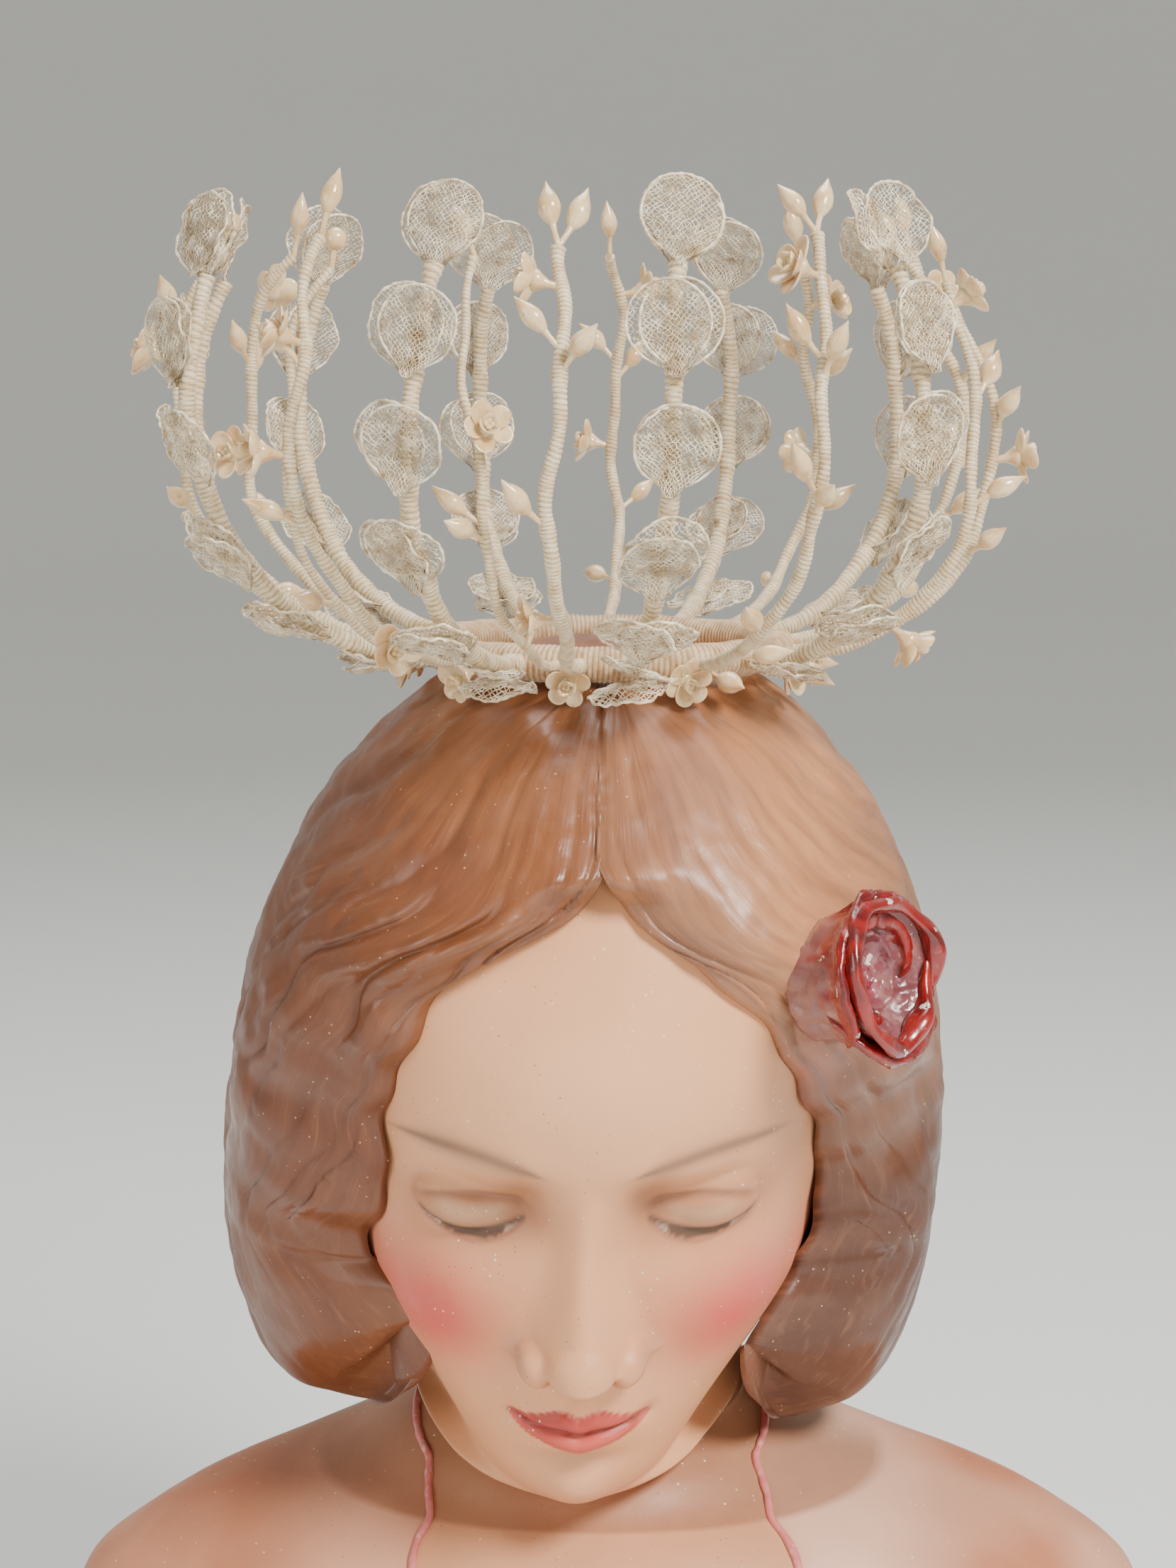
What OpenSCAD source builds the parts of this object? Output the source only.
// Papier-mache display bust of a young woman with moulded, bobbed hair and a moulded rose, and the
// separate wax-flower bridal crown that rests on her head. Millimetres, +Z up, the face looks
// along -Y, and the origin is the centre of the flat underside.

/* [Bust] */
// Half of the width across the shoulders
shoulder_half_w = 158; // [150:1:164]
// Thickness of the papier-mache wall
wall = 5; // [4:0.5:6]
// How far the head bows forward, in degrees
head_bow = 20; // [18:1:22]
// How far the head leans sideways towards its left, in degrees
head_roll = 2; // [0:0.5:3]
// Thickness of the wooden base board
board_t = 12; // [10:1:16]
// Diameter of the post inside the neck
post_d = 22; // [16:1:26]

/* [Hair and rose] */
// How far the bob stands out from the middle of the head on each side
hair_half_w = 103; // [99:1:106]
// Thickness of the hair over the crown of the head
hair_top_t = 12; // [11:0.5:13]
// Diameter of the rose across its rolled lip
rose_d = 45; // [40:1:48]

/* [Crown] */
// Diameter of the crown's base ring, at the middle of its binding
ring_d = 96; // [92:1:100]
// Diameter of the bound ring's section
ring_section_d = 10; // [8:0.5:11]
// Radius of the thread-wrapped stems that carry the discs
stem_r = 2.6; // [2:0.1:3]
// Length of one net disc, from its tie to its top
disc_l = 24; // [20:1:25]
// Width of one net disc
disc_w = 21; // [18:1:22]
// Thickness of one net disc
disc_t = 1.2; // [1:0.1:1.6]
// Distance along a stem from one disc to the next
disc_pitch = 27.6; // [26:0.2:30]
// Length of a wax bud
bud_l = 11; // [9:0.5:13]
// Diameter of a wax flower
flower_d = 17; // [14:1:18]

/* [Hidden] */
$fn = 32;
gap = 0.3;

// Middle of the head between the ears, about which the head bows
head_at = [-6, -24, 262];
// Middle of the crown's ring
crown_at = [-1, -22, 368.6];
ring_r = ring_d / 2;
ring_section_r = ring_section_d / 2;

// Cross-sections of the torso and neck from the underside upwards:
// [x, y, z of the middle, bow, half width, depth in front, depth behind]
s = shoulder_half_w / 158;
rim_h = 18;
rim_half = [101 * s, 65, 65];
torso_sections = [
    [0, 0, 0, 0, rim_half[0], rim_half[1], rim_half[2]],
    [0, 0, rim_h, 0, rim_half[0], rim_half[1], rim_half[2]],
    [0, 0, 38, 0, 122 * s, 78, 68],
    [0, 0, 58, 0, 145 * s, 85, 72],
    [0, 0, 77, 0, 157 * s, 84, 71],
    [0, 0, 92, 1, 155 * s, 78, 67],
    [0, 0, 105, 2, 139 * s, 71, 62],
    [-1, 0, 115, 3, 121 * s, 65, 57],
    [-2, 0, 123, 5, 98 * s, 59, 54],
    [-3, -1, 132, 9, 71, 51, 51],
    [-5, -2, 141, 12, 54, 44, 48],
    [-5.5, 2, 151, 14, 47, 36, 50]];

// Cross-sections of the head in its own bowed frame: [height, middle's y, half width, front, back]
head_sections = [
    [-109, -20, 50, 50, 60],
    [-106, -20, 51, 60, 61],
    [-92, -18, 57, 69, 63],
    [-68, -12, 63, 77, 68],
    [-38, -5, 68, 84, 82],
    [0, 0, 72, 90, 91],
    [35, 2, 73, 88, 92],
    [62, 2, 63, 72, 76],
    [82, 2, 44, 52, 52],
    [93, 1, 25, 28, 28],
    [97, 0, 8, 8, 8]];

// Cross-sections of the hair in the head's frame: [height, middle's y, half width, front, back,
// angle from the front at which the hair's edge lies on each side]
hair_sections = [
    [-110, -4, 80, 60, 72, 78],
    [-103, -3, 89, 68, 82, 70],
    [-88, -2, 97, 76, 90, 64],
    [-62, 0, hair_half_w, 82, 96, 60],
    [-32, 0, hair_half_w, 90, 101, 57],
    [0, 0, hair_half_w - 3, 97, 104, 53],
    [28, 2, hair_half_w - 9, 101, 103, 42],
    [46, 3, hair_half_w - 16.5, 99, 99, 26],
    [60, 3, hair_half_w - 23.5, 94, 92, 9],
    [74, 3, hair_half_w - 34, 83, 81, 0.2],
    [90, 3, hair_half_w - 49, 62, 61, 0.2],
    [102, 2, hair_half_w - 67, 37, 38, 0.2],
    [98 + hair_top_t, 0, 11, 10, 10, 0.2]];

// How far each bob's lower edge hangs below the general line: the figure's left one hangs lower
bob_drop = [0, 10];

// Stems of the disc chains: [azimuth from the front, lean sideways, reach, inward turn at the tip]
chains = [
    [-95, 0, 116, 26], [-60, 0, 125, 20], [-27, 4, 117, 27], [6, 3, 117, 27], [46, 2, 111, 31],
    [128, 0, 112, 28], [160, 0, 115, 26], [-160, 0, 114, 27], [-128, 0, 116, 26]];
discs_per_chain = 6;

// Sprays: [azimuth, lean, reach, inward turn at the tip, stem radius, blooms]. A bloom is
// [how far along the stem, side that it points to, kind]: side 0 is outwards, 90 to the right.
back_blooms = [
    [1, 0, "bud"], [0.9, -80, "flower"], [0.76, 70, "bud"], [0.72, -60, "bud"],
    [0.58, 80, "flower"], [0.44, -70, "bud"], [0.26, 60, "bud"]];
sprays = [
    [-8, 2, 112, 34, 2.2, [[1, -60, "bud"], [1, 100, "bud"], [0.92, -85, "flower"],
        [0.8, -70, "bud"], [0.76, 50, "bud"], [0.5, -70, "bud"], [0.3, -80, "flower"]]],
    [-15, -6, 107, 36, 1.5, [[1, -70, "bud"], [0.66, 40, "flower"], [0.5, -80, "bud"],
        [0.47, -30, "bud"]]],
    [26, 5, 112, 36, 2, [[1, -95, "bud"], [1, 85, "bud"], [0.92, -80, "flower"],
        [0.77, -90, "bud"], [0.74, 0, "bud"], [0.54, -80, "bud"], [0.51, -20, "bud"],
        [0.26, -70, "bud"], [0.14, 80, "bud"]]],
    [-43, -4, 113, 35, 2, [[1, 20, "bud"], [0.8, -30, "flower"], [0.76, -60, "bud"],
        [0.61, -40, "flower"], [0.48, -60, "bud"], [0.22, 60, "flower"]]],
    [-50, -2, 107, 34, 1.5, [[1, 0, "round"], [0.32, 20, "bud"]]],
    [-78, -2, 119, 30, 1.7, [[1, -60, "round"], [0.84, 40, "bud"], [0.78, -20, "flower"],
        [0.5, 70, "bud"], [0.25, 60, "bud"]]],
    [67, 3, 106, 38, 2, [[1, -70, "bud"], [0.88, 30, "flower"], [0.7, 60, "bud"],
        [0.5, 40, "bud"], [0.22, 20, "flower"]]],
    [80, 2, 107, 32, 1.8, [[1, -30, "bud"], [0.62, 10, "flower"], [0.68, -60, "bud"],
        [0.42, -60, "bud"]]],
    [111, 0, 110, 36, 2, back_blooms],
    [144.5, 0, 112, 33, 2, back_blooms],
    [178, 0, 111, 36, 2, back_blooms],
    [-112, 0, 113, 34, 2, back_blooms]];

// Flowers and buds that hang from the ring between the stems
ring_flower_azimuths = [-78, -43.5, -10.5, 22, 62, 84, 112, 144, 176, -144, -111.5];
ring_bud_azimuths = [33, 73, 97, -174];

stem_start = ring_r + ring_section_r + gap;
tip_radius = 90;

function two_digits(i) = i < 10 ? str("0", i) : str(i);

// ---- Points on a section and surfaces through the sections ----

squareness = 2.2;
function rounded(t) = sign(t) * pow(abs(t), 2 / squareness);

// A point of a section at an angle from its front, where 90 is +X
function on_section(angle, half_w, front, back) = [
    half_w * rounded(sin(angle)),
    -rounded(cos(angle)) * (cos(angle) > 0 ? front : back)];

// A flat point [x, y] of a section that bows forward, set at the section's middle
function bowed(p, at, bow) = [
    at[0] + p[0],
    at[1] + p[1] * cos(bow),
    at[2] + p[1] * sin(bow)];

// A section of the head's frame, as [x, y, z of the middle, bow, half width, front, back]
function from_head(c) = [
    head_at[0] + c[0] * sin(head_roll),
    head_at[1] + c[1] * cos(head_bow) - c[0] * sin(head_bow),
    head_at[2] + c[0] * cos(head_bow) + c[1] * sin(head_bow),
    head_bow, c[2], c[3], c[4]];

// Smooth midpoints between the entries of a list
function halfway(list, i) =
    let (n = len(list), a = list[max(i - 1, 0)], b = list[i], c = list[i + 1])
    (9 * (b + c) - a - list[min(i + 2, n - 1)]) / 16;
function refined(list) = [
    for (i = [0:len(list) - 1]) each (i < len(list) - 1 ? [list[i], halfway(list, i)] : [list[i]])];

function ring_of(c, angles) = [
    for (a = angles) bowed(on_section(a, c[4], c[5], c[6]), [c[0], c[1], c[2]], c[3])];

function unit(v) = v / norm(v);
// The grid moved inwards by a depth, along its own normals
function inset_grid(grid, depth) =
    let (rows = len(grid), cols = len(grid[0]))
    [for (r = [0:rows - 1]) [for (c = [0:cols - 1])
        let (
            along = grid[min(r + 1, rows - 1)][c] - grid[max(r - 1, 0)][c],
            around = grid[r][(c + 1) % cols] - grid[r][(c + cols - 1) % cols])
        grid[r][c] - depth * unit(cross(along, around))]];

// One closed solid between two grids of points, of which the first is its outside
module between_grids(outside, inside) {
    rows = len(outside);
    cols = len(outside[0]);
    function at(side, r, c) = (side * rows + r) * cols + c;
    function quad(a, b, c, d) = [[a, c, b], [a, d, c]];
    points = concat([for (row = outside) each row], [for (row = inside) each row]);
    skins = [for (r = [0:rows - 2]) for (c = [0:cols - 2]) each concat(
        quad(at(0, r, c), at(0, r + 1, c), at(0, r + 1, c + 1), at(0, r, c + 1)),
        quad(at(1, r, c), at(1, r, c + 1), at(1, r + 1, c + 1), at(1, r + 1, c)))];
    sides = [for (r = [0:rows - 2]) each concat(
        quad(at(0, r, 0), at(1, r, 0), at(1, r + 1, 0), at(0, r + 1, 0)),
        quad(at(0, r, cols - 1), at(0, r + 1, cols - 1), at(1, r + 1, cols - 1), at(1, r, cols - 1)))];
    ends = [for (c = [0:cols - 2]) each concat(
        quad(at(0, 0, c), at(0, 0, c + 1), at(1, 0, c + 1), at(1, 0, c)),
        quad(at(0, rows - 1, c), at(1, rows - 1, c), at(1, rows - 1, c + 1), at(0, rows - 1, c + 1)))];
    polyhedron(points, concat(skins, sides, ends), convexity = 8);
}

function columns(grid, from, to) = [for (row = grid) [for (c = [from:to]) row[c]]];

// ---- Bust ----

around = 48;
bust_sections = refined(concat(torso_sections, [for (c = head_sections) from_head(c)]));
bust_angles = [for (i = [0:around - 1]) 90 - 360 * i / around];
bust_outside = [for (c = bust_sections) ring_of(c, bust_angles)];
bust_inside = inset_grid(bust_outside, wall);
// The inner skin is brought level with the rim at the underside
bust_inside_level = [for (r = [0:len(bust_inside) - 1])
    [for (p = bust_inside[r]) [p[0], p[1], r == 0 ? 0 : max(p[2], 0.5 * r)]]];

module bust_front_shell() {
    color("peachpuff")
        between_grids(columns(bust_outside, 0, around / 2), columns(bust_inside_level, 0, around / 2));
}

// The back half ends where the front half begins, with a line of glue between them
function back_half(grid) = [for (row = grid)
    [for (c = [around / 2:around]) row[c % around] + [0, gap, 0]]];

module bust_back_shell() {
    color("bisque") between_grids(back_half(bust_outside), back_half(bust_inside_level));
}

// ---- Hair ----

hair_columns = 20;
// Thickness of the paste that beds the hair on the head
paste_t = 1.6;
// Thickness of the bob where it hangs free below the jaw
bob_t = 20;
hair_rows = refined(hair_sections);

// The head's own surface under the hair, found at the same heights as the hair's sections
function head_size_at(h, k) =
    lookup(h, [for (c = refined(head_sections)) [c[0], c[k]]]);

// The height on the head that lies under a height on the hair, whose top stands above the head's
function head_height_under(h) =
    lookup(h, [[-200, -200], [60, 60], [98 + hair_top_t, 97 + paste_t]]);

// Rows of points for one side: side is -1 for the figure's right and 1 for its left
function hair_grid(side, grow, skin) = [for (c = hair_rows)
    let (
        top = skin ? head_height_under(c[0]) : c[0],
        drop = bob_drop[side > 0 ? 1 : 0] * max(0, min(1, (-40 - c[0]) / 70)),
        over = [head_size_at(top, 2), head_size_at(top, 3), head_size_at(top, 4)],
        // below the jaw the hair hangs free, so its inside keeps to the bob's own thickness
        free = [c[2] - bob_t, c[3] - bob_t, c[4] - bob_t],
        size = skin ? [for (k = [0:2]) max(over[k] + grow, free[k])] : [c[2], c[3], c[4]],
        mid_y = skin ? head_size_at(top, 1) : c[1],
        at = from_head([top - drop, mid_y, 0, 0, 0]),
        mid_x = from_head([c[0], 0, 0, 0, 0])[0])
    [for (i = [0:hair_columns])
        let (edge = max(c[5], 0.2), a = side * (edge + (179.8 - edge) * i / hair_columns))
        bowed(on_section(a, size[0], size[1], size[2]), [mid_x, at[1], at[2]], head_bow)]];

module hair_side(side) {
    outside = hair_grid(side, 0, false);
    inside = hair_grid(side, paste_t, true);
    if (side > 0) between_grids(inside, outside);
    else between_grids(outside, inside);
}

module hair_right() {
    color("sienna") hair_side(-1);
}

module hair_left() {
    color("peru") hair_side(1);
}

// ---- Rose ----

rose_r = rose_d / 2;
rose_at = [60.8, -101.4, 289.5];
rose_turn = 53;
rose_rise = 12;
rose_deep = 15;

// Stands its children on the hair at the figure's left temple, with +Z out along the rose's axis
module at_rose() {
    translate(rose_at) rotate([90 - rose_rise, 0, rose_turn]) children();
}

// A curled petal: part of a flared cup, from a radius at its foot to one at its rim
module petal(foot_r, rim_r, low, high, start, sweep, thick) {
    rotate([0, 0, start]) rotate_extrude(angle = sweep)
        polygon([[foot_r, low], [foot_r + thick, low], [rim_r + thick, high], [rim_r, high]]);
}

module rose_bed() {
    color("rosybrown") at_rose() cylinder(h = 4, r1 = rose_r - 1, r2 = rose_r - 4);
}

module rose_outer_petals() {
    color("palevioletred") at_rose()
        for (start = [0, 120, 240])
            petal(rose_r - 8.5, rose_r - 3.6, 4 + gap, rose_deep - 2, start, 117, 2.6);
}

module rose_inner_petals() {
    color("mediumvioletred") at_rose()
        for (start = [60, 180, 300])
            petal(rose_r - 13, rose_r - 9.2, 4 + gap, rose_deep - 4, start, 116, 2.2);
}

module rose_heart() {
    color("crimson") at_rose() translate([0, 0, 4 + gap]) {
        cylinder(h = 2.5, r1 = 5, r2 = 6);
        translate([0, 0, 2.5]) cylinder(h = 4.5, r1 = 6, r2 = 2);
    }
}

module rose_lip() {
    color("darkred") at_rose() translate([0, 0, rose_deep + 1.3]) rotate_extrude()
        translate([rose_r - 3.1, 0]) circle(r = 3.1);
}

// ---- Base, post and head block ----

board_fit = 0.985;
board_outline = [for (p = bust_inside_level[0]) [p[0] * board_fit, p[1] * board_fit]];
tack_count = 12;
post_h = 140;
block_r = 34;
block_t = 18;
// Two screws hold the post, one on each side of its middle
screw_x = 0.3 * post_d;
screw_d = 3.4;
screw_head_d = 6.6;
screw_head_t = 2.6;
screw_len = 34;
screw_sunk = 1;

module at_screws() {
    for (side = [-1, 1]) translate([side * screw_x, 0, 0]) children();
}

module base_board() {
    color("burlywood") difference() {
        linear_extrude(board_t) polygon(board_outline);
        at_screws() {
            translate([0, 0, -1]) cylinder(h = board_t + 2, d = screw_d + 1);
            translate([0, 0, -1]) cylinder(h = 1 + screw_sunk + screw_head_t, d = screw_head_d + 1);
        }
    }
}

// Round-headed tacks that hold the shell's rim to the board, set just proud of the wall
module board_tacks() {
    color("dimgray") for (i = [0:tack_count - 1])
        let (
            a = 15 + 360 * i / tack_count,
            p = on_section(a, rim_half[0] + gap, rim_half[1] + gap, rim_half[2] + gap),
            turn = atan2(p[1] * rim_half[0] / rim_half[1], p[0]))
        translate([p[0], p[1], 7]) rotate([0, 90, turn]) cylinder(h = 1.2, d1 = 5, d2 = 3);
}

module neck_post() {
    color("tan") translate([0, 0, board_t]) difference() {
        cylinder(h = post_h, d = post_d);
        at_screws() translate([0, 0, -1]) cylinder(h = screw_len - board_t, d = screw_d + 0.2);
    }
}

module head_block() {
    color("wheat") translate([-4, 0, board_t + post_h + gap]) cylinder(h = block_t, r = block_r);
}

module post_screws() {
    color("silver") at_screws() translate([0, 0, screw_sunk - 0.4]) {
        cylinder(h = screw_head_t, d = screw_head_d);
        translate([0, 0, screw_head_t]) cylinder(h = screw_len - screw_head_t - 4, d = screw_d);
    }
}

// ---- Crown: ring, stems, discs, sprays ----

module on_crown(azimuth, lean = 0) {
    translate(crown_at) rotate([0, 0, azimuth - 90]) rotate([-lean, 0, 0]) children();
}

module ring_binding() {
    color("cornsilk") translate(crown_at) rotate_extrude() translate([ring_r, 0]) difference() {
        circle(r = ring_section_r);
        circle(r = 1.5);
    }
}

module ring_wire() {
    color("slategray") translate(crown_at) rotate_extrude() translate([ring_r, 0]) circle(r = 1.4);
}

// A stem lies in an upright plane: a quarter turn from level to upright, then a flatter arc inwards
function rise_r(reach) = reach - stem_start;
function stem_length(reach, tip) = rise_r(reach) * PI / 2 + tip_radius * tip * PI / 180;

// Angle, middle and radius of the arc at a distance along the stem, as [angle, x, z, radius]
function stem_spot(reach, along) =
    let (r = rise_r(reach), quarter = r * PI / 2)
    along < quarter
        ? [-90 + along / r * 180 / PI, stem_start, r, r]
        : [(along - quarter) / tip_radius * 180 / PI, reach - tip_radius, r, tip_radius];

// Sets children on the stem's axis: +X outwards from the curve, +Z along the stem to its tip
module on_stem(reach, along) {
    spot = stem_spot(reach, along);
    translate([spot[1], 0, spot[2]]) rotate([0, -spot[0], 0]) translate([spot[3], 0, 0]) children();
}

module arc_rod(radius, start, sweep, rod_r) {
    rotate([90, 0, 0]) rotate([0, 0, start]) rotate_extrude(angle = sweep)
        translate([radius, 0]) circle(r = rod_r);
}

module stem(reach, tip, rod_r) {
    r = rise_r(reach);
    translate([stem_start, 0, r]) arc_rod(r, -90, 90, rod_r);
    translate([reach - tip_radius, 0, r]) arc_rod(tip_radius, 0, tip, rod_r);
}

// An oval disc that narrows to its tie, lying in Y and Z with its tie at the origin
module net_disc() {
    round_r = disc_w / 2;
    round_at = disc_l - round_r;
    // the round part meets the straight sides where they touch it
    side = acos(round_r / round_at) - 90;
    steps = 24;
    outline = concat(
        [[0.8, 0]],
        [for (i = [0:steps]) let (a = side + (180 - 2 * side) * i / steps)
            [round_r * cos(a), round_at + round_r * sin(a)]],
        [[-0.8, 0]]);
    rotate([90, 0, 90]) linear_extrude(disc_t) polygon(outline);
}

module petal_stem(i) {
    c = chains[i];
    color("antiquewhite") on_crown(c[0], c[1]) stem(c[2], c[3], stem_r);
}

module petal_discs(i) {
    c = chains[i];
    whole = stem_length(c[2], c[3]);
    first = whole - (discs_per_chain - 1) * disc_pitch - 1;
    color("tan") on_crown(c[0], c[1]) for (k = [0:discs_per_chain - 1])
        on_stem(c[2], max(first + k * disc_pitch, 1)) translate([stem_r + gap, 0, 0])
            rotate([0, 6, 0]) net_disc();
}

// A spindle-shaped wax bud on its twig, along +Z
module bud() {
    cylinder(h = 3.5, r = 0.7);
    translate([0, 0, 3]) cylinder(h = bud_l * 0.42, r1 = 1.2, r2 = 2.6);
    translate([0, 0, 3 + bud_l * 0.42]) cylinder(h = bud_l * 0.58, r1 = 2.6, r2 = 0.5);
}

module round_bud() {
    cylinder(h = 4, r = 0.8);
    translate([0, 0, 5.5]) sphere(r = 3);
}

// A five-petalled wax flower on a short stalk, along +Z
module flower() {
    lobed = [for (a = [0:9:351]) let (r = flower_d / 2 * (0.74 + 0.26 * abs(cos(2.5 * a))))
        [r * cos(a), r * sin(a)]];
    cylinder(h = 2, r = 1.2);
    translate([0, 0, 1.5]) cylinder(h = 4, r1 = 1.6, r2 = flower_d * 0.33);
    translate([0, 0, 5]) linear_extrude(2) polygon(lobed);
}

module bloom(kind) {
    if (kind == "bud") bud();
    else if (kind == "round") round_bud();
    else flower();
}

module spray_stem(i) {
    c = sprays[i];
    color("ivory") on_crown(c[0], c[1]) stem(c[2], c[3], c[4]);
}

// Buds lean towards the tip, flowers stand straight out, and the last bloom sits on the tip
module spray_blooms(i) {
    c = sprays[i];
    whole = stem_length(c[2], c[3]);
    color("moccasin") on_crown(c[0], c[1]) for (b = c[5])
        let (rise = b[2] == "flower" ? 12 : b[0] == 1 ? 68 : 45)
        on_stem(c[2], b[0] * whole) rotate([0, 0, b[1]]) rotate([0, 90 - rise, 0])
            translate([0, 0, (c[4] + 0.9) / cos(rise > 60 ? 40 : rise)]) bloom(b[2]);
}

module ring_flowers() {
    color("navajowhite") for (a = ring_flower_azimuths) on_crown(a)
        translate([ring_r + 4.9, 0, -4.2]) rotate([0, 111, 0]) {
            cylinder(h = 4, r = 1);
            translate([0, 0, 3.5]) scale(0.5) flower();
        }
}

module ring_buds() {
    color("moccasin") for (a = ring_bud_azimuths) on_crown(a)
        translate([ring_r + 4.5, 0, -3.4]) rotate([0, 108, 0]) bud();
}

// ---- Choice of what is drawn ----

bust_front_shell();
bust_back_shell();
hair_left();
hair_right();
rose_bed();
rose_outer_petals();
rose_inner_petals();
rose_heart();
rose_lip();
base_board();
board_tacks();
neck_post();
head_block();
post_screws();
ring_wire();
ring_binding();
for (i = [0:len(chains) - 1]) {
    petal_stem(i);
    petal_discs(i);
}
for (i = [0:len(sprays) - 1]) {
    spray_stem(i);
    spray_blooms(i);
}
ring_flowers();
ring_buds();
